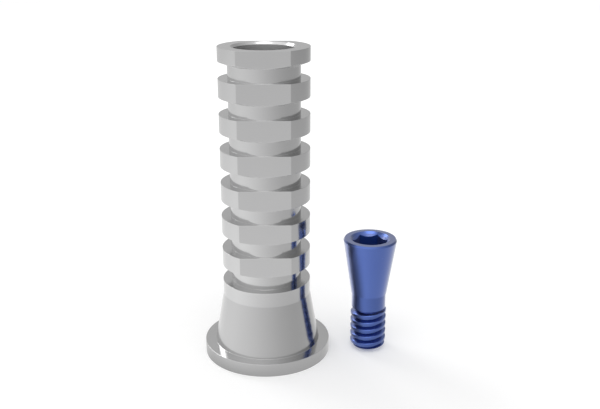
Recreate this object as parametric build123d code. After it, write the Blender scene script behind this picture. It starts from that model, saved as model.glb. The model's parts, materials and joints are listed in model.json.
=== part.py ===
from build123d import *
from math import cos, radians, tan
import os

# Screw-retained temporary abutment for a dental implant, in millimetres, +Z up.
# Two separate turned pieces, shown apart: the titanium sleeve, which a crown is
# built up on, and the socket screw that clamps it down, stood on its tip beside it.
# The origin is the centre of the sleeve's flange, on the flat face underneath.

# Retaining screw: heights are measured up from its tip
screw_length = 4.62
thread_radius = 0.70
thread_pitch = 0.30
thread_depth = 0.15
thread_crest_width = 0.10
thread_root_width = 0.05
thread_foot_sink = 0.03
first_crest_height = 0.14
thread_length = 1.66
thread_relief_height = 0.11
thread_relief_undercut = 0.02
tip_chamfer_width = 0.23
tip_chamfer_height = 0.22
shank_undersize = 0.035
shank_length = 0.59
neck_step = 0.025
head_radius = 1.03
head_edge_chamfer = 0.06
hex_across_flats = 1.20
hex_depth = 1.00
hex_countersink_margin = 0.075
hex_drill_point_angle = 59.0

# Clear space between the flange and the screw's thread, where the screw stands beside it
standing_gap = 0.87

# How loosely the screw passes through the sleeve
channel_clearance = 0.095
screw_hole_clearance = 0.05

# Sleeve, from the screw channel outwards
core_wall = 0.215
flat_step = 0.05
ring_depth = 0.35
cone_flare = 0.355
flange_width = 0.405

# Sleeve, from the flange upwards
flange_thickness = 0.50
collar_bottom = 2.49
collar_height = 0.56
ring_count = 7
ring_pitch = 1.30
ring_band = 0.665
top_ring_band = 0.515
ring_undercut_angle = 21.0
mouth_chamfer = 0.09

# Socket under the flange, for the implant's own cone
socket_wall = 0.295
socket_register_depth = 0.40
socket_depth = 1.15
socket_taper_angle = 25.0
socket_edge_chamfer = 0.06
seat_web = 0.50

# Radii and heights that follow from those sizes
tip_radius = thread_radius - tip_chamfer_width
root_radius = thread_radius - thread_depth
relief_radius = root_radius - thread_relief_undercut
relief_top = thread_length + thread_relief_height
shank_radius = thread_radius - shank_undersize
neck_radius = shank_radius + neck_step
neck_height = relief_top + shank_length
head_edge_height = screw_length - head_edge_chamfer
head_taper = (head_radius - neck_radius) / (head_edge_height - neck_height)

screw_hole_radius = thread_radius + screw_hole_clearance
channel_radius = head_radius + channel_clearance
core_radius = channel_radius + core_wall
flat_distance = core_radius + flat_step
ring_radius = core_radius + ring_depth
cone_base_radius = ring_radius + cone_flare
flange_radius = cone_base_radius + flange_width
socket_radius = cone_base_radius - socket_wall

collar_top = collar_bottom + collar_height
undercut_drop = ring_depth * tan(radians(ring_undercut_angle))
top_ring_underside = collar_top + ring_count * ring_pitch - ring_band
sleeve_height = top_ring_underside + top_ring_band
seat_bottom = socket_depth + seat_web
seat_top = seat_bottom + (channel_radius - screw_hole_radius) / head_taper

screw_spacing = flange_radius + standing_gap + thread_radius


def turned(points):
    """Solid of revolution about Z from a closed outline of (radius, height) points."""
    outline = make_face(Plane.XZ * Polyline(*points, close=True))
    return revolve(outline, Axis.Z)


def sleeve_blank():
    """Outside of the sleeve as it leaves the lathe, with every ring still round."""
    points = [
        (0, 0),
        (flange_radius, 0),
        (flange_radius, flange_thickness),
        (cone_base_radius, flange_thickness),
        (ring_radius, collar_bottom),
        (ring_radius, collar_top),
        (core_radius, collar_top),
    ]
    for ring in range(1, ring_count + 1):
        underside = collar_top + ring * ring_pitch - ring_band
        band = top_ring_band if ring == ring_count else ring_band
        points.append((core_radius, underside - undercut_drop))
        points.append((ring_radius, underside))
        points.append((ring_radius, underside + band))
        if ring < ring_count:
            points.append((core_radius, underside + band))
    points.append((0, sleeve_height))
    return turned(points)


def ring_flats():
    """Two blocks that take the front and the back off every ring above the collar."""
    depth = ring_radius
    half_height = sleeve_height - collar_top
    block = Box(2 * ring_radius, depth, 2 * half_height)
    return [Pos(0, side * (flat_distance + depth / 2), sleeve_height) * block for side in (-1, 1)]


def sleeve_hollow():
    """Socket, screw hole, tapered screw seat and screw channel, as one solid."""
    roof_radius = socket_radius - (socket_depth - socket_register_depth) * tan(radians(socket_taper_angle))
    return turned([
        (0, 0),
        (socket_radius + socket_edge_chamfer, 0),
        (socket_radius, socket_edge_chamfer),
        (socket_radius, socket_register_depth),
        (roof_radius, socket_depth),
        (screw_hole_radius, socket_depth),
        (screw_hole_radius, seat_bottom),
        (channel_radius, seat_top),
        (channel_radius, sleeve_height - mouth_chamfer),
        (channel_radius + mouth_chamfer, sleeve_height),
        (0, sleeve_height),
    ])


def make_sleeve():
    """The one-piece titanium sleeve."""
    blank = sleeve_blank()
    for block in ring_flats():
        blank -= block
    return blank - sleeve_hollow()


def thread_ridge():
    """The thread's ridge, a single right-handed start that runs on past both of its ends.

    Its crest, its two flanks and its foot are each ruled between two helices. The foot
    lies a little below the thread's root, inside the core."""
    foot_radius = root_radius - thread_foot_sink
    flank_height = (thread_pitch - thread_crest_width - thread_root_width) / 2
    half_crest = thread_crest_width / 2
    half_foot = half_crest + flank_height * (thread_radius - foot_radius) / thread_depth
    bottom = first_crest_height - 2 * thread_pitch
    climb = thread_length + 3 * thread_pitch

    def helix(radius, offset):
        return Pos(0, 0, bottom + offset) * Edge.make_helix(thread_pitch, climb, radius)

    rails = [
        helix(foot_radius, -half_foot),
        helix(thread_radius, -half_crest),
        helix(thread_radius, half_crest),
        helix(foot_radius, half_foot),
    ]
    sides = [
        Face.make_surface_from_curves(rail, following)
        for rail, following in zip(rails, rails[1:] + rails[:1])
    ]
    ends = [make_face(Polyline(*[rail @ end for rail in rails], close=True)).face() for end in (0, 1)]
    return Solid(Shell(sides + ends))


def screw_end(radius):
    """Turned bar of that radius, as long as the thread, with the chamfer of the screw's tip."""
    chamfer_slope = tip_chamfer_height / tip_chamfer_width
    return turned([
        (0, 0),
        (tip_radius, 0),
        (radius, (radius - tip_radius) * chamfer_slope),
        (radius, thread_length),
        (0, thread_length),
    ])


def threaded_end():
    """The screw below its relief: the core, and the ridge trimmed to the tip's chamfer."""
    return (screw_end(head_radius) & thread_ridge()) + screw_end(root_radius)


def screw_head():
    """Relief, shank, long tapered head and rim, above the thread."""
    return turned([
        (0, thread_length),
        (relief_radius, thread_length),
        (relief_radius, relief_top),
        (shank_radius, relief_top),
        (shank_radius, neck_height),
        (neck_radius, neck_height),
        (head_radius, head_edge_height),
        (head_radius - head_edge_chamfer, screw_length),
        (0, screw_length),
    ])


def hex_socket():
    """Hex recess with a countersunk mouth and a drilled point, in the screw's head."""
    drilled_radius = hex_across_flats / 2
    corner_radius = drilled_radius / cos(radians(30))
    mouth_radius = corner_radius + hex_countersink_margin
    countersink_point = screw_length - mouth_radius
    floor = screw_length - hex_depth
    drill_point = floor - drilled_radius / tan(radians(hex_drill_point_angle))
    recess = extrude(Pos(0, 0, floor) * RegularPolygon(corner_radius, 6), hex_depth)
    recess += turned([(0, countersink_point), (mouth_radius, screw_length), (0, screw_length)])
    recess += turned([(0, drill_point), (drilled_radius, floor), (0, floor)])
    return recess


def make_screw():
    """The retaining screw, built on the Z axis with its tip at the origin."""
    return threaded_end() + screw_head() - hex_socket()


pieces = {
    "sleeve": make_sleeve(),
    "retaining_screw": Pos(screw_spacing, 0, 0) * make_screw(),
}

os.makedirs("parts", exist_ok=True)
for name, piece in pieces.items():
    export_step(piece, f"parts/{name}.step")
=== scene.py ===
"""Looks of a screw-retained dental abutment: a ringed titanium sleeve and its blue retaining screw.

Both pieces are turned on their own axes. Each is drawn as half of its section, revolved by
Geometry Nodes round the +Z axis, and dressed in bare or in blue anodised titanium.
Sizes are in millimetres until a mesh is made; Blender's own unit is the metre.
"""
import json
import logging
from dataclasses import dataclass
from enum import Enum
from math import cos, pi, radians, sin, tan, tau
from typing import ClassVar, Union

import bpy
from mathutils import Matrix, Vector


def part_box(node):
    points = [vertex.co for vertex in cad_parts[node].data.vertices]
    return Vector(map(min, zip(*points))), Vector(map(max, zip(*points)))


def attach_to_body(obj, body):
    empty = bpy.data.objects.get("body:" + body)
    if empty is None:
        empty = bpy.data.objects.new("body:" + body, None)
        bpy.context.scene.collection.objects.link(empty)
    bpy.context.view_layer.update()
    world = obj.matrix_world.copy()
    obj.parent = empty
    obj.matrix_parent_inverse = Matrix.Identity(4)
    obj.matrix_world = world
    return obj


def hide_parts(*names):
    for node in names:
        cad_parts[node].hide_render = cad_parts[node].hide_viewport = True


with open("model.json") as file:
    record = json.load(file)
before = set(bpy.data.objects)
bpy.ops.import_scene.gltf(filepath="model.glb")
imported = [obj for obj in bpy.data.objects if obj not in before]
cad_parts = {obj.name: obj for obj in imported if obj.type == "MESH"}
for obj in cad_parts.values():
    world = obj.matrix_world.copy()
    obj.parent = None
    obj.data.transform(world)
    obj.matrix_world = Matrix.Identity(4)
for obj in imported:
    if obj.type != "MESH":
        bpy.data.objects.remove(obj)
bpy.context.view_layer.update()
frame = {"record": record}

MM = 0.001
BODY = "root"
SHARP_ANGLE = radians(6.0)
WHITE = (1.0, 1.0, 1.0, 1.0)
LAMP_TARGET = (1.0, 0.0, 4.0)

Socket = bpy.types.NodeSocket
Tree = bpy.types.NodeTree
Number = Union[float, "Field"]

log = logging.getLogger("abutment")


class Slot(Enum):
    """The record's material slots."""

    BARE_TITANIUM = "polished_titanium"
    BLUE_TITANIUM = "blue_anodised_titanium"


class Trim(Enum):
    """How far the flats trim a point of a section as the section turns."""

    NONE = 0.0
    FLATS = 1.0


@dataclass(frozen=True)
class Field:
    """A number that runs through a node tree; arithmetic on it adds Math nodes.

    Args:
        tree: the node tree that the number belongs to.
        socket: the output socket that carries it.
    """

    tree: Tree
    socket: Socket

    def apply(self, operation: str, *others: Number) -> "Field":
        """This number and others through one Math node."""
        return calculate(self.tree, operation, self, *others)

    def __add__(self, other: Number) -> "Field":
        """Sum."""
        return self.apply("ADD", other)

    def __sub__(self, other: Number) -> "Field":
        """Difference."""
        return self.apply("SUBTRACT", other)

    def __mul__(self, other: Number) -> "Field":
        """Product."""
        return self.apply("MULTIPLY", other)

    def __truediv__(self, other: Number) -> "Field":
        """Quotient."""
        return self.apply("DIVIDE", other)

    def __mod__(self, other: Number) -> "Field":
        """Remainder, never below zero."""
        return self.apply("FLOORED_MODULO", other)

    def __neg__(self) -> "Field":
        """The number with its sign turned."""
        return self * -1.0

    def floor(self) -> "Field":
        """The whole number below."""
        return self.apply("FLOOR")

    def least(self, other: Number) -> "Field":
        """The smaller of the two."""
        return self.apply("MINIMUM", other)

    def most(self, other: Number) -> "Field":
        """The larger of the two."""
        return self.apply("MAXIMUM", other)

    def size(self) -> "Field":
        """The number without its sign."""
        return self.apply("ABSOLUTE")

    def sine(self) -> "Field":
        """Sine of an angle in radians."""
        return self.apply("SINE")

    def cosine(self) -> "Field":
        """Cosine of an angle in radians."""
        return self.apply("COSINE")

    def hypotenuse(self, other: "Field") -> "Field":
        """Length of a diagonal with these two sides."""
        return (self * self + other * other).apply("SQRT")


def feed(tree: Tree, target: Socket, value: object) -> None:
    """Gives an input socket its value.

    Args:
        tree: the tree that holds the socket.
        target: the input socket.
        value: a Field or an output socket, which is linked, or a plain value, which is set.
    """
    if isinstance(value, Field):
        value = value.socket
    if isinstance(value, Socket):
        tree.links.new(value, target)
    elif target.type == "INT":
        target.default_value = int(value)
    else:
        target.default_value = value


def add_node(tree: Tree, kind: str, inputs: dict | None = None, **settings: object) -> bpy.types.Node:
    """Adds one node to a tree.

    Args:
        tree: the tree to add to.
        kind: Blender's name for the node's type.
        inputs: values for input sockets, by name or by number.
        settings: the node's own properties.

    Returns:
        The new node.
    """
    node = tree.nodes.new(kind)
    for name, value in settings.items():
        setattr(node, name, value)
    for name, value in (inputs or {}).items():
        feed(tree, node.inputs[name], value)
    return node


def calculate(tree: Tree, operation: str, *values: Number) -> Field:
    """The result of a Math node with these numbers, plain or as fields."""
    node = add_node(tree, "ShaderNodeMath", dict(enumerate(values)), operation=operation)
    return Field(tree, node.outputs[0])


def split(tree: Tree, vector: Socket) -> tuple[Field, Field, Field]:
    """A vector's parts along X, Y and Z."""
    parts = add_node(tree, "ShaderNodeSeparateXYZ", {0: vector})
    return tuple(Field(tree, part) for part in parts.outputs)


def combine(tree: Tree, x: Number, y: Number, z: Number) -> Socket:
    """A vector with these parts along X, Y and Z."""
    return add_node(tree, "ShaderNodeCombineXYZ", {0: x, 1: y, 2: z}).outputs[0]


def blank_tree(holder: bpy.types.Material | bpy.types.World) -> Tree:
    """The shader tree of a new material or world, emptied."""
    holder.use_nodes = True
    holder.node_tree.nodes.clear()
    return holder.node_tree


def show(tree: Tree, kind: str, shader: Socket) -> None:
    """Links a shader to a new output node of that kind."""
    tree.links.new(shader, add_node(tree, kind).inputs[0])


def put_in_scene(name: str, data: bpy.types.ID) -> bpy.types.Object:
    """Makes an object of a mesh, a lamp or a camera and links it to the scene.

    Args:
        name: the object's name.
        data: what it holds.

    Returns:
        The object, at the origin.
    """
    piece = bpy.data.objects.new(name, data)
    bpy.context.scene.collection.objects.link(piece)
    return piece


def plain_mesh(source: bpy.types.Object) -> bpy.types.Mesh:
    """Turns an object with modifiers into a plain mesh.

    Args:
        source: the object. It and its modifiers are removed.

    Returns:
        The mesh that its modifiers make.
    """
    source.update_tag()
    depsgraph = bpy.context.evaluated_depsgraph_get()
    mesh = bpy.data.meshes.new_from_object(source.evaluated_get(depsgraph))
    source.modifiers.clear()
    bpy.data.objects.remove(source)
    return mesh


class GeometryTree:
    """A Geometry Nodes tree with named inputs, which makes one plain mesh of another."""

    NAME: ClassVar[str]
    NUMBERS: ClassVar[tuple[str, ...]]
    COUNTS: ClassVar[tuple[str, ...]]
    WELD_DISTANCE: ClassVar[float] = 1e-7

    def __init__(self) -> None:
        """Builds the tree: sockets, shape, smooth faces, real meshes and the material."""
        self.tree = bpy.data.node_groups.new(self.NAME, "GeometryNodeTree")
        interface = self.tree.interface
        interface.new_socket("Geometry", in_out="OUTPUT", socket_type="NodeSocketGeometry")
        interface.new_socket("Geometry", in_out="INPUT", socket_type="NodeSocketGeometry")
        for kind, names in (("Float", self.NUMBERS), ("Int", self.COUNTS), ("Material", ("Material",))):
            for name in names:
                interface.new_socket(name, in_out="INPUT", socket_type=f"NodeSocket{kind}")
        self.given = self.tree.nodes.new("NodeGroupInput")
        smooth = self.node("GeometryNodeSetShadeSmooth", {"Geometry": self.shape()})
        real = self.node("GeometryNodeRealizeInstances", {"Geometry": smooth.outputs[0]})
        dressed = self.node("GeometryNodeSetMaterial", {"Geometry": real.outputs[0]})
        self.tree.links.new(self.given.outputs["Material"], dressed.inputs["Material"])
        result = self.tree.nodes.new("NodeGroupOutput")
        self.tree.links.new(dressed.outputs[0], result.inputs[0])

    def shape(self) -> Socket:
        """The tree's own part, which each kind of tree adds."""
        raise NotImplementedError

    def node(self, kind: str, inputs: dict | None = None, **settings: object) -> bpy.types.Node:
        """Adds a node to the tree."""
        return add_node(self.tree, kind, inputs, **settings)

    def value(self, name: str) -> Field:
        """One of the tree's inputs."""
        return Field(self.tree, self.given.outputs[name])

    def moved(self, geometry: Socket, **how: Socket) -> Socket:
        """A geometry with its points put at a Position or moved by an Offset."""
        return self.node("GeometryNodeSetPosition", {"Geometry": geometry, **how}).outputs[0]

    def sheet(self, steps: Number, points: Number) -> tuple[Socket, Field, Field]:
        """A grid whose rows are a closed section's points.

        Args:
            steps: how many steps the section moves on, from the first column to the last.
            points: how many points the section has. The first stands twice.

        Returns:
            The grid, each point's column, and the number of its point in the section.
        """
        rows = calculate(self.tree, "ADD", points, 1.0)
        grid = self.node("GeometryNodeMeshGrid", {"Vertices X": steps + 1.0, "Vertices Y": rows})
        index = Field(self.tree, self.node("GeometryNodeInputIndex").outputs[0])
        column = ((index + 0.5) / rows).floor()
        return grid.outputs[0], column, (index - column * rows) % points

    def wrap(self, sheet: Socket, radius: Field, angle: Field, height: Field) -> Socket:
        """Puts a sheet's points round the Z axis and welds where it meets itself.

        Args:
            sheet: the grid.
            radius: each point's distance from the axis.
            angle: its direction from +X, in radians.
            height: its height.

        Returns:
            The closed shape.
        """
        place = combine(self.tree, radius * angle.cosine(), radius * angle.sine(), height)
        placed = self.moved(sheet, Position=place)
        weld = {"Geometry": placed, "Distance": self.WELD_DISTANCE}
        return self.node("GeometryNodeMergeByDistance", weld).outputs[0]

    def run(self, source: bpy.types.Mesh, values: dict[str, object]) -> bpy.types.Mesh:
        """Runs the tree on a mesh.

        Args:
            source: the mesh that the tree starts from.
            values: what each of the tree's inputs is set to, by name.

        Returns:
            The finished mesh.
        """
        holder = put_in_scene(source.name, source)
        modifier = holder.modifiers.new(self.NAME, "NODES")
        modifier.node_group = self.tree
        for item in self.tree.interface.items_tree:
            if item.in_out == "INPUT" and item.name in values:
                modifier[item.identifier] = values[item.name]
        return plain_mesh(holder)


@dataclass(frozen=True)
class SectionPoint:
    """A corner of a turned piece's half section.

    Args:
        radius: distance from the axis, in millimetres.
        height: height on the axis, in millimetres.
        trim: whether the flats cut the corner back.
        slope: climb of the surface that the corner slides along when it is cut back.
        repeats: whether the corner belongs to the stretch that repeats up the axis.
    """

    radius: float
    height: float
    trim: Trim = Trim.NONE
    slope: float = 0.0
    repeats: bool = False


@dataclass(frozen=True)
class Flats:
    """Flats round a turned piece, outside or inside.

    Args:
        count: how many there are, evenly spaced.
        distance: distance from the axis to each flat.
        corner_radius: radius of the round form that they are cut into.
        first_angle: direction that the first one faces, in degrees from +X.
        flat_columns: steps from the middle of a flat to its edge.
        round_columns: steps from that edge to the middle of the round stretch beside it.
    """

    count: int
    distance: float
    corner_radius: float
    first_angle: float
    flat_columns: int
    round_columns: int


class Lathe(GeometryTree):
    """Tree that repeats part of a half section up the axis and revolves the whole of it."""

    NAME = "turned_with_flats"
    NUMBERS = ("Pitch", "Height Limit", "Flat Distance", "Corner Radius", "First Flat Angle")
    COUNTS = ("Copies", "Flat Count", "Flat Columns", "Round Columns")
    BEFORE, REPEATED, AFTER = range(3)
    LEAST_COSINE = 0.01

    def attribute(self, name: str, data_type: str = "FLOAT") -> Socket:
        """A named attribute of the section's points."""
        return self.node("GeometryNodeInputNamedAttribute", {"Name": name}, data_type=data_type).outputs[0]

    def stretch(self, number: int) -> Socket:
        """One stretch of the section.

        Args:
            number: which it is: the one before those that repeat, that one, or the one after.

        Returns:
            The points of that stretch.
        """
        same = self.node("FunctionNodeCompare", data_type="INT", operation="EQUAL")
        first, second = (s for s in same.inputs if s.type == "INT")
        feed(self.tree, first, self.attribute("stretch", "INT"))
        feed(self.tree, second, number)
        picked = self.node("GeometryNodeSeparateGeometry", {"Selection": same.outputs[0]})
        feed(self.tree, picked.inputs["Geometry"], self.given.outputs["Geometry"])
        return picked.outputs["Selection"]

    def repeated(self, stretch: Socket) -> Socket:
        """Copies of a stretch, one pitch apart up the axis and none above the height limit.

        Args:
            stretch: the points that repeat.

        Returns:
            The points of all copies, in order.
        """
        step = combine(self.tree, 0.0, 0.0, self.value("Pitch"))
        line = self.node("GeometryNodeMeshLine", {"Count": self.value("Copies"), "Offset": step})
        copies = self.node("GeometryNodeInstanceOnPoints", {"Points": line.outputs[0], "Instance": stretch})
        real = self.node("GeometryNodeRealizeInstances", {"Geometry": copies.outputs[0]})
        x, _, z = split(self.tree, self.node("GeometryNodeInputPosition").outputs[0])
        capped = combine(self.tree, x, 0.0, z.least(self.value("Height Limit")))
        return self.moved(real.outputs[0], Position=capped)

    def sampled(self, section: Socket, value: Socket, row: Field, kind: str) -> Socket:
        """What a value is at one point of the section.

        Args:
            section: the whole section's points.
            value: the value to read.
            row: number of the point.
            kind: the value's data type.

        Returns:
            The output socket with the value.
        """
        found = self.node("GeometryNodeSampleIndex", {"Geometry": section}, data_type=kind)
        feed(self.tree, next(s for s in found.inputs if s.name == "Value" and s.enabled), value)
        feed(self.tree, found.inputs["Index"], row)
        return next(s for s in found.outputs if s.enabled)

    def turn(self, column: Field) -> tuple[Field, Field]:
        """Where a column of the sheet stands round the axis.

        Args:
            column: the column's number.

        Returns:
            Its angle from +X, and its angle from the middle of the nearest flat.
        """
        flat, rounded = self.value("Flat Columns"), self.value("Round Columns")
        half_sector = flat + rounded
        sector = (column / (half_sector * 2.0)).floor()
        along = column - sector * half_sector * 2.0 - half_sector
        edge_angle = (self.value("Flat Distance") / self.value("Corner Radius")).apply("ARCCOSINE")
        share_angle = calculate(self.tree, "DIVIDE", pi, self.value("Flat Count"))
        on_flat = along.size().least(flat) / flat * edge_angle
        on_round = (along.size() - flat).most(0.0) / rounded * (share_angle - edge_angle)
        from_flat = along.apply("SIGN") * (on_flat + on_round)
        return self.value("First Flat Angle") + sector * share_angle * 2.0 + from_flat, from_flat

    def shape(self) -> Socket:
        """The whole section, revolved and trimmed by its flats.

        Returns:
            The closed shape.
        """
        joined = self.node("GeometryNodeJoinGeometry")
        repeated = self.repeated(self.stretch(self.REPEATED))
        for stretch in (self.stretch(self.AFTER), repeated, self.stretch(self.BEFORE)):
            self.tree.links.new(stretch, joined.inputs[0])
        section = joined.outputs[0]
        size = self.node("GeometryNodeAttributeDomainSize", {"Geometry": section}, component="MESH")
        points = Field(self.tree, size.outputs["Point Count"])
        half_sector = self.value("Flat Columns") + self.value("Round Columns")
        sheet, column, row = self.sheet(half_sector * self.value("Flat Count") * 2.0, points)
        angle, from_flat = self.turn(column)

        place = self.node("GeometryNodeInputPosition").outputs[0]
        x, _, z = split(self.tree, self.sampled(section, place, row, "FLOAT_VECTOR"))
        trim = Field(self.tree, self.sampled(section, self.attribute("trim"), row, "FLOAT"))
        slope = Field(self.tree, self.sampled(section, self.attribute("slope"), row, "FLOAT"))
        reach = self.value("Flat Distance") / from_flat.cosine().most(self.LEAST_COSINE)
        cut_back = (self.value("Corner Radius") - reach).most(0.0) * trim
        return self.wrap(sheet, x - cut_back, angle, z - cut_back * slope)

    def make(
        self,
        section: list[SectionPoint],
        flats: Flats,
        top: float,
        material: bpy.types.Material,
        copies: int = 0,
        pitch: float = 0.0,
    ) -> bpy.types.Mesh:
        """Revolves a half section.

        Args:
            section: its corners in order, anticlockwise with the axis on the left.
            flats: the flats that trim it.
            top: height that no repeated corner passes.
            material: what the mesh is made of.
            copies: how many times the repeated stretch stands up the axis.
            pitch: distance from one of them to the next.

        Returns:
            The closed mesh.
        """
        outline = bpy.data.meshes.new("section")
        outline.from_pydata([(p.radius * MM, 0.0, p.height * MM) for p in section], [], [])
        first = next((n for n, p in enumerate(section) if p.repeats), len(section))
        rest = [self.BEFORE if n < first else self.AFTER for n in range(len(section))]
        stretches = [self.REPEATED if p.repeats else number for p, number in zip(section, rest)]
        for name, kind, values in (
            ("stretch", "INT", stretches),
            ("trim", "FLOAT", [p.trim.value for p in section]),
            ("slope", "FLOAT", [p.slope for p in section]),
        ):
            outline.attributes.new(name, kind, "POINT").data.foreach_set("value", values)
        return self.run(outline, {
            "Copies": copies,
            "Pitch": pitch * MM,
            "Height Limit": top * MM,
            "Flat Count": flats.count,
            "Flat Distance": flats.distance * MM,
            "Corner Radius": flats.corner_radius * MM,
            "First Flat Angle": radians(flats.first_angle),
            "Flat Columns": flats.flat_columns,
            "Round Columns": flats.round_columns,
            "Material": material,
        })


class ThreadCutter(GeometryTree):
    """Tree that winds a thread's ridge round a bar, trims it and joins it to the bar."""

    NAME = "helical_thread"
    NUMBERS = (
        "Pitch", "Crest Radius", "Foot Radius", "Crest Width", "Foot Width", "Crest Chamfer",
        "Start Height", "Turns", "Tip Radius", "Chamfer Slope", "Length", "Axis X",
    )
    COUNTS = ("Steps Per Turn",)
    RIDGE_CORNERS = 6.0
    TRIM_SIDES = 192

    def shape(self) -> Socket:
        """The bar with its thread, moved to the screw's place.

        Returns:
            The closed shape.
        """
        ridge = self.merged("INTERSECT", self.ridge(), self.envelope())
        threaded = self.merged("UNION", self.given.outputs["Geometry"], ridge)
        return self.moved(threaded, Offset=combine(self.tree, self.value("Axis X"), 0.0, 0.0))

    def merged(self, operation: str, *solids: Socket) -> Socket:
        """Solids through one Mesh Boolean node."""
        boolean = self.node("GeometryNodeMeshBoolean", operation=operation, solver="MANIFOLD")
        for solid in solids:
            self.tree.links.new(solid, boolean.inputs["Mesh 2"])
        return boolean.outputs[0]

    def where(self, number: Field, wanted: Number) -> Field:
        """1 where a whole number is the wanted one, and 0 elsewhere."""
        return calculate(self.tree, "COMPARE", number, wanted, 0.5)

    def section(self, row: Field) -> tuple[Field, Field]:
        """The ridge's section: foot, shoulder and crest, below its middle and above it.

        Args:
            row: number of the corner.

        Returns:
            The corner's distance from the axis, and its height from the ridge's middle.
        """
        half_foot, half_crest = self.value("Foot Width") / 2.0, self.value("Crest Width") / 2.0
        foot, crest = self.value("Foot Radius"), self.value("Crest Radius")
        chamfer = self.value("Crest Chamfer")
        shoulder = half_crest + (half_foot - half_crest) * (chamfer / (crest - foot))
        corners = [
            (foot, half_foot),
            (crest - chamfer, shoulder),
            (crest, half_crest - chamfer * 0.5),
        ]
        radii, heights = [], []
        for step, (radius, half_width) in enumerate(corners):
            below, above = self.where(row, step), self.where(row, self.RIDGE_CORNERS - 1.0 - step)
            radii.append((above + below) * radius)
            heights.append((above - below) * half_width)
        return radii[0] + radii[1] + radii[2], heights[0] + heights[1] + heights[2]

    def ridge(self) -> Socket:
        """The ridge: its section wound up the axis, drawn to a point at both ends.

        Returns:
            The closed shape.
        """
        steps = self.value("Steps Per Turn")
        last = (self.value("Turns") * steps).floor()
        sheet, column, row = self.sheet(last, self.RIDGE_CORNERS)
        radius, rise = self.section(row)
        kept = -(self.where(column, 0.0) + self.where(column, last)) + 1.0
        foot = self.value("Foot Radius")
        turns = column / steps
        height = self.value("Start Height") + turns * self.value("Pitch") + rise * kept
        return self.wrap(sheet, foot + (radius - foot) * kept, turns * tau, height)

    def envelope(self) -> Socket:
        """What the ridge is kept inside: a cone that opens at the tip's chamfer, as long as the thread."""
        top = self.value("Tip Radius") + self.value("Length") * self.value("Chamfer Slope")
        cone = self.node("GeometryNodeMeshCone", {
            "Vertices": self.TRIM_SIDES,
            "Radius Top": top,
            "Radius Bottom": self.value("Tip Radius"),
            "Depth": self.value("Length"),
        })
        return cone.outputs["Mesh"]


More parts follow.
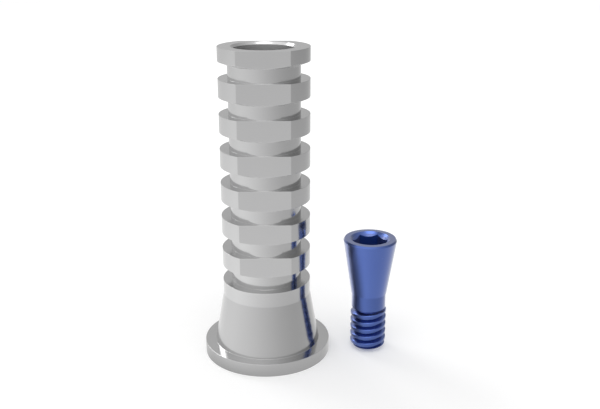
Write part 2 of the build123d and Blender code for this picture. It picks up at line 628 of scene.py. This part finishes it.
@dataclass(frozen=True)
class TurnedMetal:
    """A bright turned metal with fine lathe marks round its axis.

    Args:
        slot: the record's material slot.
        colour: what it reflects head on.
        second_colour: what patches of it reflect instead.
        roughness: least and most roughness along the marks.
        mark_strength: how far the marks tilt the surface.
        axis_x: where the turning axis crosses the X axis, in millimetres.
        bore_radius: radius inside which the surface is drilled and not polished, in millimetres.
        bore_floor: height above which that holds, in millimetres.
        bore_roughness: how much rougher the drilled surface is.
        film: how strongly a clear oxide film lies over the metal.
        film_index: the film's refractive index.
        bloom: how strongly the film greys at a glancing angle.
        bloom_roughness: how far from a glancing angle it does so.
        mark_pitch: distance from one lathe mark to the next, in millimetres.
        mark_turns: how fast a mark changes round the axis.
        patch_size: size of the patches of the second colour, in millimetres.
    """

    slot: Slot
    colour: tuple[float, float, float]
    second_colour: tuple[float, float, float]
    roughness: tuple[float, float]
    mark_strength: float
    axis_x: float
    bore_radius: float
    bore_floor: float
    bore_roughness: float = 0.3
    film: float = 0.0
    film_index: float = 1.65
    bloom: float = 0.0
    bloom_roughness: float = 0.35
    mark_pitch: float = 0.03
    mark_turns: float = 0.35
    patch_size: float = 1.1

    def material(self) -> bpy.types.Material:
        """Builds the node material.

        Returns:
            The material, named like its slot.
        """
        material = bpy.data.materials.new(self.slot.value)
        tree = blank_tree(material)
        coordinates = add_node(tree, "ShaderNodeTexCoord")
        centred = add_node(tree, "ShaderNodeMapping", {
            "Vector": coordinates.outputs["Object"],
            "Location": (-self.axis_x * MM, 0.0, 0.0),
        })
        x, y, z = split(tree, centred.outputs[0])
        radius = x.hypotenuse(y)
        marks = self.marks(tree, radius, y.apply("ARCTAN2", x), z)
        bump = add_node(tree, "ShaderNodeBump", {
            "Height": marks,
            "Strength": self.mark_strength,
            "Distance": self.mark_pitch * MM,
        })
        shader = add_node(tree, "ShaderNodeBsdfPrincipled", {
            "Base Color": self.tone(tree, centred.outputs[0]),
            "Metallic": 1.0,
            "Roughness": self.polish(tree, marks, radius, z),
            "Normal": bump.outputs[0],
            "Coat Weight": self.film,
            "Coat Roughness": self.roughness[1],
            "Coat IOR": self.film_index,
            "Sheen Weight": self.bloom,
            "Sheen Roughness": self.bloom_roughness,
        })
        show(tree, "ShaderNodeOutputMaterial", shader.outputs[0])
        return material

    def marks(self, tree: Tree, radius: Field, angle: Field, z: Field) -> Field:
        """The lathe marks: noise drawn out round the axis.

        Args:
            tree: the material's tree.
            radius: distance from the axis.
            angle: direction from the axis.
            z: height.

        Returns:
            The marks' height, from 0 to 1.
        """
        frequency = 1.0 / (self.mark_pitch * MM)
        along = combine(tree, radius * frequency, angle * self.mark_turns, z * frequency)
        noise = add_node(tree, "ShaderNodeTexNoise", {
            "Vector": along,
            "Scale": 1.0,
            "Detail": 3.0,
            "Roughness": 0.6,
        })
        return Field(tree, noise.outputs[0])

    def polish(self, tree: Tree, marks: Field, radius: Field, z: Field) -> Field:
        """Roughness: it varies along the marks, and is higher where the metal is drilled.

        Args:
            tree: the material's tree.
            marks: the lathe marks.
            radius: distance from the axis.
            z: height.

        Returns:
            The roughness.
        """
        least, most = self.roughness
        inside = radius.apply("LESS_THAN", self.bore_radius * MM)
        drilled = inside * z.apply("GREATER_THAN", self.bore_floor * MM)
        return drilled * self.bore_roughness + marks * (most - least) + least

    def tone(self, tree: Tree, place: Socket) -> Socket:
        """The two colours, mixed in soft patches.

        Args:
            tree: the material's tree.
            place: where the surface is.

        Returns:
            The colour's socket.
        """
        patches = add_node(tree, "ShaderNodeTexNoise", {
            "Vector": place,
            "Scale": 1.0 / (self.patch_size * MM),
            "Detail": 2.0,
        })
        mix = add_node(tree, "ShaderNodeMix", data_type="RGBA")
        first, second = (s for s in mix.inputs if s.type == "RGBA")
        feed(tree, mix.inputs["Factor"], patches.outputs[0])
        feed(tree, first, (*self.colour, 1.0))
        feed(tree, second, (*self.second_colour, 1.0))
        return next(s for s in mix.outputs if s.type == "RGBA")


@dataclass(frozen=True)
class Sleeve:
    """The titanium sleeve. Its bounds and bores come from the frame; sizes are millimetres."""

    flange_radius: float
    height: float
    channel_radius: float
    screw_hole_radius: float
    socket_radius: float
    core_wall: float = 0.215
    flat_step: float = 0.05
    ring_depth: float = 0.35
    cone_base_inset: float = 0.405
    flange_thickness: float = 0.50
    collar_bottom: float = 2.49
    collar_height: float = 0.56
    ring_count: int = 7
    ring_pitch: float = 1.30
    ring_band: float = 0.665
    ring_undercut_angle: float = 21.0
    mouth_chamfer: float = 0.09
    socket_register_depth: float = 0.40
    socket_depth: float = 1.15
    socket_taper_angle: float = 25.0
    socket_edge_chamfer: float = 0.06
    seat_bottom: float = 1.65
    seat_top: float = 4.0761
    edge_rounding: float = 0.006
    flat_columns: int = 14
    round_columns: int = 34

    @property
    def core_radius(self) -> float:
        """Radius of the tube between the rings."""
        return self.channel_radius + self.core_wall

    def section(self) -> list[SectionPoint]:
        """Half of the section, with one ring that repeats.

        Returns:
            Its corners, up the outside and down the inside.
        """
        core, ring = self.core_radius, self.core_radius + self.ring_depth
        collar_top = self.collar_bottom + self.collar_height
        undercut = tan(radians(self.ring_undercut_angle))
        underside = collar_top + self.ring_pitch - self.ring_band
        taper = tan(radians(self.socket_taper_angle))
        roof = self.socket_radius - (self.socket_depth - self.socket_register_depth) * taper
        outside = [
            SectionPoint(self.socket_radius + self.socket_edge_chamfer, 0.0),
            SectionPoint(self.flange_radius, 0.0),
            SectionPoint(self.flange_radius, self.flange_thickness),
            SectionPoint(self.flange_radius - self.cone_base_inset, self.flange_thickness),
            SectionPoint(ring, self.collar_bottom),
            SectionPoint(ring, collar_top),
            SectionPoint(core, collar_top),
        ]
        one_ring = [
            SectionPoint(core, underside - self.ring_depth * undercut, repeats=True),
            SectionPoint(ring, underside, Trim.FLATS, undercut, repeats=True),
            SectionPoint(ring, underside + self.ring_band, Trim.FLATS, repeats=True),
            SectionPoint(core, underside + self.ring_band, repeats=True),
        ]
        inside = [
            SectionPoint(self.channel_radius + self.mouth_chamfer, self.height),
            SectionPoint(self.channel_radius, self.height - self.mouth_chamfer),
            SectionPoint(self.channel_radius, self.seat_top),
            SectionPoint(self.screw_hole_radius, self.seat_bottom),
            SectionPoint(self.screw_hole_radius, self.socket_depth),
            SectionPoint(roof, self.socket_depth),
            SectionPoint(self.socket_radius, self.socket_register_depth),
            SectionPoint(self.socket_radius, self.socket_edge_chamfer),
        ]
        return outside + one_ring + inside

    def build(self, lathe: Lathe, finish: TurnedMetal) -> bpy.types.Object:
        """Makes the sleeve's piece and dresses it.

        Args:
            lathe: what revolves the section.
            finish: the metal.

        Returns:
            The piece, in place of the sleeve's solid.
        """
        flats = Flats(
            count=2,
            distance=self.core_radius + self.flat_step,
            corner_radius=self.core_radius + self.ring_depth,
            first_angle=90.0,
            flat_columns=self.flat_columns,
            round_columns=self.round_columns,
        )
        mesh = lathe.make(
            self.section(),
            flats,
            self.height,
            finish.material(),
            copies=self.ring_count,
            pitch=self.ring_pitch,
        )
        return attach("titanium_sleeve", crisp_edges(mesh, self.edge_rounding), "sleeve")


@dataclass(frozen=True)
class RetainingScrew:
    """The blue screw. Its place, length and head radius come from the frame; sizes are millimetres.

    The thread's ridge starts `turns_below` turns under its first crest, and is `turns_spare` turns
    longer than the thread, so that both of its ends are trimmed off.
    """

    axis_x: float
    length: float
    head_radius: float
    thread_radius: float = 0.70
    thread_pitch: float = 0.30
    thread_depth: float = 0.15
    thread_crest_width: float = 0.10
    thread_root_width: float = 0.05
    thread_foot_sink: float = 0.03
    first_crest_height: float = 0.14
    thread_length: float = 1.66
    turns_below: int = 2
    turns_spare: int = 3
    thread_relief_height: float = 0.11
    thread_relief_undercut: float = 0.02
    tip_chamfer_width: float = 0.23
    tip_chamfer_height: float = 0.22
    shank_undersize: float = 0.035
    shank_length: float = 0.59
    neck_step: float = 0.025
    head_edge_width: float = 0.045
    head_edge_height: float = 0.075
    hex_sides: int = 6
    hex_first_angle: float = 30.0
    hex_across_flats: float = 1.20
    hex_depth: float = 1.00
    hex_countersink_margin: float = 0.075
    hex_drill_point_angle: float = 59.0
    edge_rounding: float = 0.010
    crest_chamfer: float = 0.010
    hex_flat_columns: int = 15
    steps_per_turn: int = 128

    @property
    def root_radius(self) -> float:
        """Radius at the thread's root."""
        return self.thread_radius - self.thread_depth

    @property
    def tip_radius(self) -> float:
        """Radius of the flat that the screw stands on."""
        return self.thread_radius - self.tip_chamfer_width

    @property
    def hex_corner_radius(self) -> float:
        """Distance from the axis to the hex socket's corners."""
        return self.hex_across_flats / 2 / cos(pi / self.hex_sides)

    @property
    def hex_floor(self) -> float:
        """Height of the hex socket's floor."""
        return self.length - self.hex_depth

    @property
    def drill_point(self) -> float:
        """Height of the point that the drill leaves in that floor."""
        return self.hex_floor - self.hex_across_flats / 2 / tan(radians(self.hex_drill_point_angle))

    def section(self) -> list[SectionPoint]:
        """Half of the section without the thread's ridge.

        Returns:
            Its corners, from the tip up the outside and down the hex socket.
        """
        root, tip = self.root_radius, self.tip_radius
        tip_slope = self.tip_chamfer_height / self.tip_chamfer_width
        relief = root - self.thread_relief_undercut
        relief_top = self.thread_length + self.thread_relief_height
        shank = self.thread_radius - self.shank_undersize
        neck_height = relief_top + self.shank_length
        corner = self.hex_corner_radius
        return [
            SectionPoint(0.0, 0.0),
            SectionPoint(tip, 0.0),
            SectionPoint(root, (root - tip) * tip_slope),
            SectionPoint(root, self.thread_length),
            SectionPoint(relief, self.thread_length),
            SectionPoint(relief, relief_top),
            SectionPoint(shank, relief_top),
            SectionPoint(shank, neck_height),
            SectionPoint(shank + self.neck_step, neck_height),
            SectionPoint(self.head_radius, self.length - self.head_edge_height),
            SectionPoint(self.head_radius - self.head_edge_width, self.length),
            SectionPoint(corner + self.hex_countersink_margin, self.length),
            SectionPoint(corner, self.length - self.hex_countersink_margin, Trim.FLATS, 1.0),
            SectionPoint(corner, self.hex_floor, Trim.FLATS),
            SectionPoint(self.hex_across_flats / 2, self.hex_floor),
            SectionPoint(0.0, self.drill_point),
        ]

    def thread(self, material: bpy.types.Material) -> dict[str, object]:
        """What the thread cutter is set to.

        Args:
            material: what the thread is made of.

        Returns:
            The cutter's inputs, by name.
        """
        foot = self.root_radius - self.thread_foot_sink
        flank_height = (self.thread_pitch - self.thread_crest_width - self.thread_root_width) / 2
        flanks = 2 * flank_height * (self.thread_radius - foot) / self.thread_depth
        return {
            "Pitch": self.thread_pitch * MM,
            "Crest Radius": self.thread_radius * MM,
            "Foot Radius": foot * MM,
            "Crest Width": self.thread_crest_width * MM,
            "Foot Width": (self.thread_crest_width + flanks) * MM,
            "Crest Chamfer": self.crest_chamfer * MM,
            "Start Height": (self.first_crest_height - self.turns_below * self.thread_pitch) * MM,
            "Turns": self.thread_length / self.thread_pitch + self.turns_spare,
            "Steps Per Turn": self.steps_per_turn,
            "Tip Radius": self.tip_radius * MM,
            "Chamfer Slope": self.tip_chamfer_width / self.tip_chamfer_height,
            "Length": self.thread_length * MM,
            "Axis X": self.axis_x * MM,
            "Material": material,
        }

    def build(self, lathe: Lathe, cutter: ThreadCutter, finish: TurnedMetal) -> bpy.types.Object:
        """Makes the screw's piece and dresses it.

        Args:
            lathe: what revolves the section.
            cutter: what winds the thread on.
            finish: the metal.

        Returns:
            The piece, in place of the screw's solid.
        """
        flats = Flats(
            count=self.hex_sides,
            distance=self.hex_across_flats / 2,
            corner_radius=self.hex_corner_radius,
            first_angle=self.hex_first_angle,
            flat_columns=self.hex_flat_columns,
            round_columns=1,
        )
        material = finish.material()
        bar = crisp_edges(lathe.make(self.section(), flats, self.length, material), self.edge_rounding)
        mesh = cutter.run(bar, self.thread(material))
        mesh.set_sharp_from_angle(angle=SHARP_ANGLE)
        return attach("blue_retaining_screw", mesh, "retaining_screw")


def crisp_edges(mesh: bpy.types.Mesh, width: float) -> bpy.types.Mesh:
    """Gives every edge the hair-fine rounding that polishing leaves, and keeps it crisp.

    Args:
        mesh: the closed mesh. It is replaced.
        width: the rounding's width, in millimetres.

    Returns:
        The mesh with its edges rounded and marked.
    """
    piece = put_in_scene("unfinished", mesh)
    bevel = piece.modifiers.new("edge_rounding", "BEVEL")
    bevel.width = width * MM
    bevel.segments = 2
    bevel.limit_method = "ANGLE"
    bevel.angle_limit = SHARP_ANGLE
    finished = plain_mesh(piece)
    finished.set_sharp_from_angle(angle=SHARP_ANGLE)
    return finished


def attach(name: str, mesh: bpy.types.Mesh, node: str) -> bpy.types.Object:
    """Makes a piece of a mesh and puts it in the place of a CAD node's solid.

    Args:
        name: the piece's name.
        mesh: its mesh.
        node: the CAD node.

    Returns:
        The piece.
    """
    piece = put_in_scene(name, mesh)
    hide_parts(node)
    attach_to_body(piece, BODY)
    return piece


@dataclass(frozen=True)
class Softbox:
    """A soft lamp that shines at the object.

    Args:
        name: its name.
        azimuth: direction from the object, in degrees from +X towards +Y.
        elevation: height above the horizon, in degrees.
        width: size across, in millimetres.
        depth: size the other way, in millimetres.
        distance: distance from the object, in millimetres.
        radiance: how bright its face looks, where 1 is white.
    """

    name: str
    azimuth: float
    elevation: float
    width: float
    depth: float
    distance: float
    radiance: float

    def build(self, target: Vector) -> None:
        """Makes the lamp.

        Args:
            target: the point that it shines at, in metres.
        """
        lamp = bpy.data.lights.new(self.name, "AREA")
        lamp.shape = "RECTANGLE"
        lamp.size, lamp.size_y = self.width * MM, self.depth * MM
        lamp.energy = self.radiance * pi * lamp.size * lamp.size_y
        turn, lift = radians(self.azimuth), radians(self.elevation)
        away = Vector((cos(turn) * cos(lift), sin(turn) * cos(lift), sin(lift)))
        box = put_in_scene(self.name, lamp)
        box.location = target + away * self.distance * MM
        box.rotation_euler = away.to_track_quat("Z", "Y").to_euler()
        box.visible_camera = False


@dataclass(frozen=True)
class Camera:
    """Camera at the photograph's viewing place.

    Args:
        place: where it stands, in millimetres.
        look_down: how far below the horizon it looks, in degrees.
        turn: how far it is turned from +Y, in degrees.
        lens: focal length, in millimetres.
        sensor_width: width of its sensor, in millimetres.
        clip: nearest and farthest distance that it sees, in metres.
    """

    place: tuple[float, float, float] = (0.767, -30.166, 15.940)
    look_down: float = 18.238
    turn: float = -1.016
    lens: float = 50.0
    sensor_width: float = 36.0
    clip: tuple[float, float] = (0.001, 10.0)

    def build(self) -> None:
        """Makes the camera and gives it to the scene."""
        lens = bpy.data.cameras.new("camera")
        lens.lens = self.lens
        lens.sensor_width = self.sensor_width
        lens.clip_start, lens.clip_end = self.clip
        camera = put_in_scene("camera", lens)
        camera.location = Vector(self.place) * MM
        camera.rotation_euler = (radians(90.0 - self.look_down), 0.0, radians(self.turn))
        bpy.context.scene.camera = camera


@dataclass(frozen=True)
class Shade:
    """A brightness that changes evenly from side to side and from front to back.

    Args:
        middle: the level in the middle.
        right: what it gains to the right.
        back: what it gains to the back.
    """

    middle: float
    right: float
    back: float

    def level(self, x: Field, y: Field) -> Field:
        """The level in a direction."""
        return x * self.right + y * self.back + self.middle


@dataclass(frozen=True)
class Surroundings:
    """White surroundings for the camera, and a plain pale studio for the metal.

    Args:
        horizon: level along the horizon, where 1 is white.
        above: what the level gains towards straight up.
        below: what the level gains towards straight down.
        most_below: the most that it gains towards straight down.
        least: the darkest level.
        fill: level of the light that falls on everything.
    """

    horizon: Shade = Shade(middle=0.70, right=-0.27, back=-0.13)
    above: Shade = Shade(middle=0.75, right=-0.40, back=-0.45)
    below: Shade = Shade(middle=1.19, right=-0.10, back=0.60)
    most_below: float = 1.22
    least: float = 0.2
    fill: float = 0.67

    def build(self) -> None:
        """Makes the world."""
        world = bpy.data.worlds.new("studio")
        bpy.context.scene.world = world
        tree = blank_tree(world)
        path = add_node(tree, "ShaderNodeLightPath")
        coordinates = add_node(tree, "ShaderNodeTexCoord")
        x, y, z = split(tree, coordinates.outputs["Generated"])
        up, down = z.most(0.0), (-z).most(0.0)
        floor = self.below.level(x, y).least(self.most_below)
        studio = self.horizon.level(x, y) + self.above.level(x, y) * up + floor * down
        camera, glossy, through = (
            Field(tree, path.outputs[f"Is {kind} Ray"]) for kind in ("Camera", "Glossy", "Transmission")
        )
        seen = (camera + through).least(1.0)
        rest = (-(seen + glossy) + 1.0).most(0.0)
        strength = seen + glossy * studio.most(self.least) + rest * self.fill
        background = add_node(tree, "ShaderNodeBackground", {"Color": WHITE, "Strength": strength})
        show(tree, "ShaderNodeOutputWorld", background.outputs[0])


@dataclass(frozen=True)
class Floor:
    """Plain pale floor that keeps the object's shadow.

    Reflections see it only close to where a piece stands on it, as a painted shade, and the studio
    elsewhere.

    Args:
        footprints: where each piece stands: its axis on the X axis and its radius, in millimetres.
        reach: half of its width, in millimetres.
        grey: how much it reflects of the light that falls on it.
        glow: its own brightness, out of the lamps' reach.
        glow_loss: how much less of it there is beside the object, where the lamps are bright.
        lamp_reach: distance from the object at which the lamps fade, in millimetres.
        contact_level: how bright the painted shade is that reflections see where a piece touches it.
        contact_width: how far from a piece the painted shade goes, in millimetres.
    """

    footprints: tuple[tuple[float, float], ...]
    reach: float = 1500.0
    grey: float = 0.8
    glow: float = 0.454
    glow_loss: float = 0.1934
    lamp_reach: float = 60.0
    contact_level: float = 0.74
    contact_width: float = 1.667

    def build(self) -> None:
        """Makes the floor."""
        reach = self.reach * MM
        corners = [(x * reach, y * reach, 0.0) for x, y in ((-1, -1), (1, -1), (1, 1), (-1, 1))]
        mesh = bpy.data.meshes.new("floor")
        mesh.from_pydata(corners, [], [(0, 1, 2, 3)])
        mesh.materials.append(self.material())
        put_in_scene("floor", mesh)

    def material(self) -> bpy.types.Material:
        """Builds the floor's material.

        Returns:
            The material.
        """
        material = bpy.data.materials.new("pale_floor")
        tree = blank_tree(material)
        coordinates = add_node(tree, "ShaderNodeTexCoord")
        x, y, _ = split(tree, coordinates.outputs["Object"])
        glossy = add_node(tree, "ShaderNodeLightPath").outputs["Is Glossy Ray"]
        # Reflections see a painted shade by the pieces' feet; the camera sees the matt floor.
        shown = self.mixed(tree, glossy, self.matt(tree, x, y), self.painted_contact_shade(tree, x, y))
        show(tree, "ShaderNodeOutputMaterial", shown)
        return material

    def mixed(self, tree: Tree, share: Field | Socket, first: Socket, second: Socket) -> Socket:
        """Two shaders mixed by the share of the second."""
        return add_node(tree, "ShaderNodeMixShader", {0: share, 1: first, 2: second}).outputs[0]

    def matt(self, tree: Tree, x: Field, y: Field) -> Socket:
        """The floor as it looks: matt and pale, with a glow that makes up for the lamps' fading.

        Args:
            tree: the material's tree.
            x: place along X, in metres.
            y: place along Y, in metres.

        Returns:
            The shader.
        """
        beside = (x.hypotenuse(y) * (-1.0 / (self.lamp_reach * MM)) + 1.0).most(0.0)
        strength = beside * beside * -self.glow_loss + self.glow
        glow = add_node(tree, "ShaderNodeEmission", {"Color": WHITE, "Strength": strength})
        matt = add_node(tree, "ShaderNodeBsdfDiffuse", {"Color": (*(self.grey,) * 3, 1.0)})
        return add_node(tree, "ShaderNodeAddShader", {0: glow.outputs[0], 1: matt.outputs[0]}).outputs[0]

    def painted_contact_shade(self, tree: Tree, x: Field, y: Field) -> Socket:
        """The floor as reflections see it: a painted shade, dim where a piece touches it, and clear
        elsewhere.

        Args:
            tree: the material's tree.
            x: place along X, in metres.
            y: place along Y, in metres.

        Returns:
            The shader.
        """
        gaps = [(x - axis_x * MM).hypotenuse(y) - radius * MM for axis_x, radius in self.footprints]
        gap = gaps[0]
        for other in gaps[1:]:
            gap = gap.least(other)
        touch = (gap * (-1.0 / (self.contact_width * MM)) + 1.0).most(0.0).least(1.0)
        # Painted shade: a dim glow that reflections see round each piece's foot, standing in for the shade
        # there.
        dim = add_node(tree, "ShaderNodeEmission", {"Color": WHITE, "Strength": self.contact_level})
        clear = add_node(tree, "ShaderNodeBsdfTransparent")
        return self.mixed(tree, touch, clear.outputs[0], dim.outputs[0])


def mount(name: str) -> dict:
    """The record's mount of that name."""
    return next(m for m in frame["record"]["mounts"] if m["name"] == name)


def main() -> None:
    """Builds the pieces, the studio and the camera."""
    logging.basicConfig(level=logging.INFO, format="%(name)s: %(message)s")
    bpy.context.scene.view_settings.view_transform = "Standard"
    sleeve_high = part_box("sleeve")[1]
    screw_low, screw_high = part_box("retaining_screw")
    sleeve = Sleeve(
        flange_radius=sleeve_high.x / MM,
        height=sleeve_high.z / MM,
        channel_radius=mount("screw_channel")["dims"]["r_mm"],
        screw_hole_radius=mount("screw_hole")["dims"]["r_mm"],
        socket_radius=mount("implant_socket")["dims"]["r_mm"],
    )
    screw = RetainingScrew(
        axis_x=mount("screw_thread")["pos_m"][0] / MM,
        length=screw_high.z / MM,
        head_radius=(screw_high.x - screw_low.x) / 2 / MM,
    )
    bare = TurnedMetal(
        slot=Slot.BARE_TITANIUM,
        colour=(0.47, 0.47, 0.47),
        second_colour=(0.45, 0.45, 0.452),
        roughness=(0.12, 0.20),
        mark_strength=0.03,
        axis_x=0.0,
        bore_radius=sleeve.channel_radius + sleeve.edge_rounding,
        bore_floor=0.0,
    )
    blue = TurnedMetal(
        slot=Slot.BLUE_TITANIUM,
        colour=(0.018, 0.069, 0.305),
        second_colour=(0.013, 0.056, 0.285),
        roughness=(0.20, 0.30),
        mark_strength=0.04,
        axis_x=screw.axis_x,
        bore_radius=screw.hex_corner_radius,
        bore_floor=screw.drill_point,
        film=1.0,
        bloom=0.25,
    )
    lathe = Lathe()
    for piece in (sleeve.build(lathe, bare), screw.build(lathe, ThreadCutter(), blue)):
        log.info("%s: %d faces", piece.name, len(piece.data.polygons))
    target = Vector(LAMP_TARGET) * MM
    for softbox in (
        Softbox("overhead_softbox", -90.0, 72.0, width=70.0, depth=60.0, distance=120.0, radiance=2.1),
        Softbox("key_softbox", 134.0, 37.0, width=52.0, depth=40.0, distance=130.0, radiance=4.5),
    ):
        softbox.build(target)
    Floor(footprints=((0.0, sleeve.flange_radius), (screw.axis_x, screw.tip_radius))).build()
    Surroundings().build()
    Camera().build()


if __name__ == "__main__":
    main()
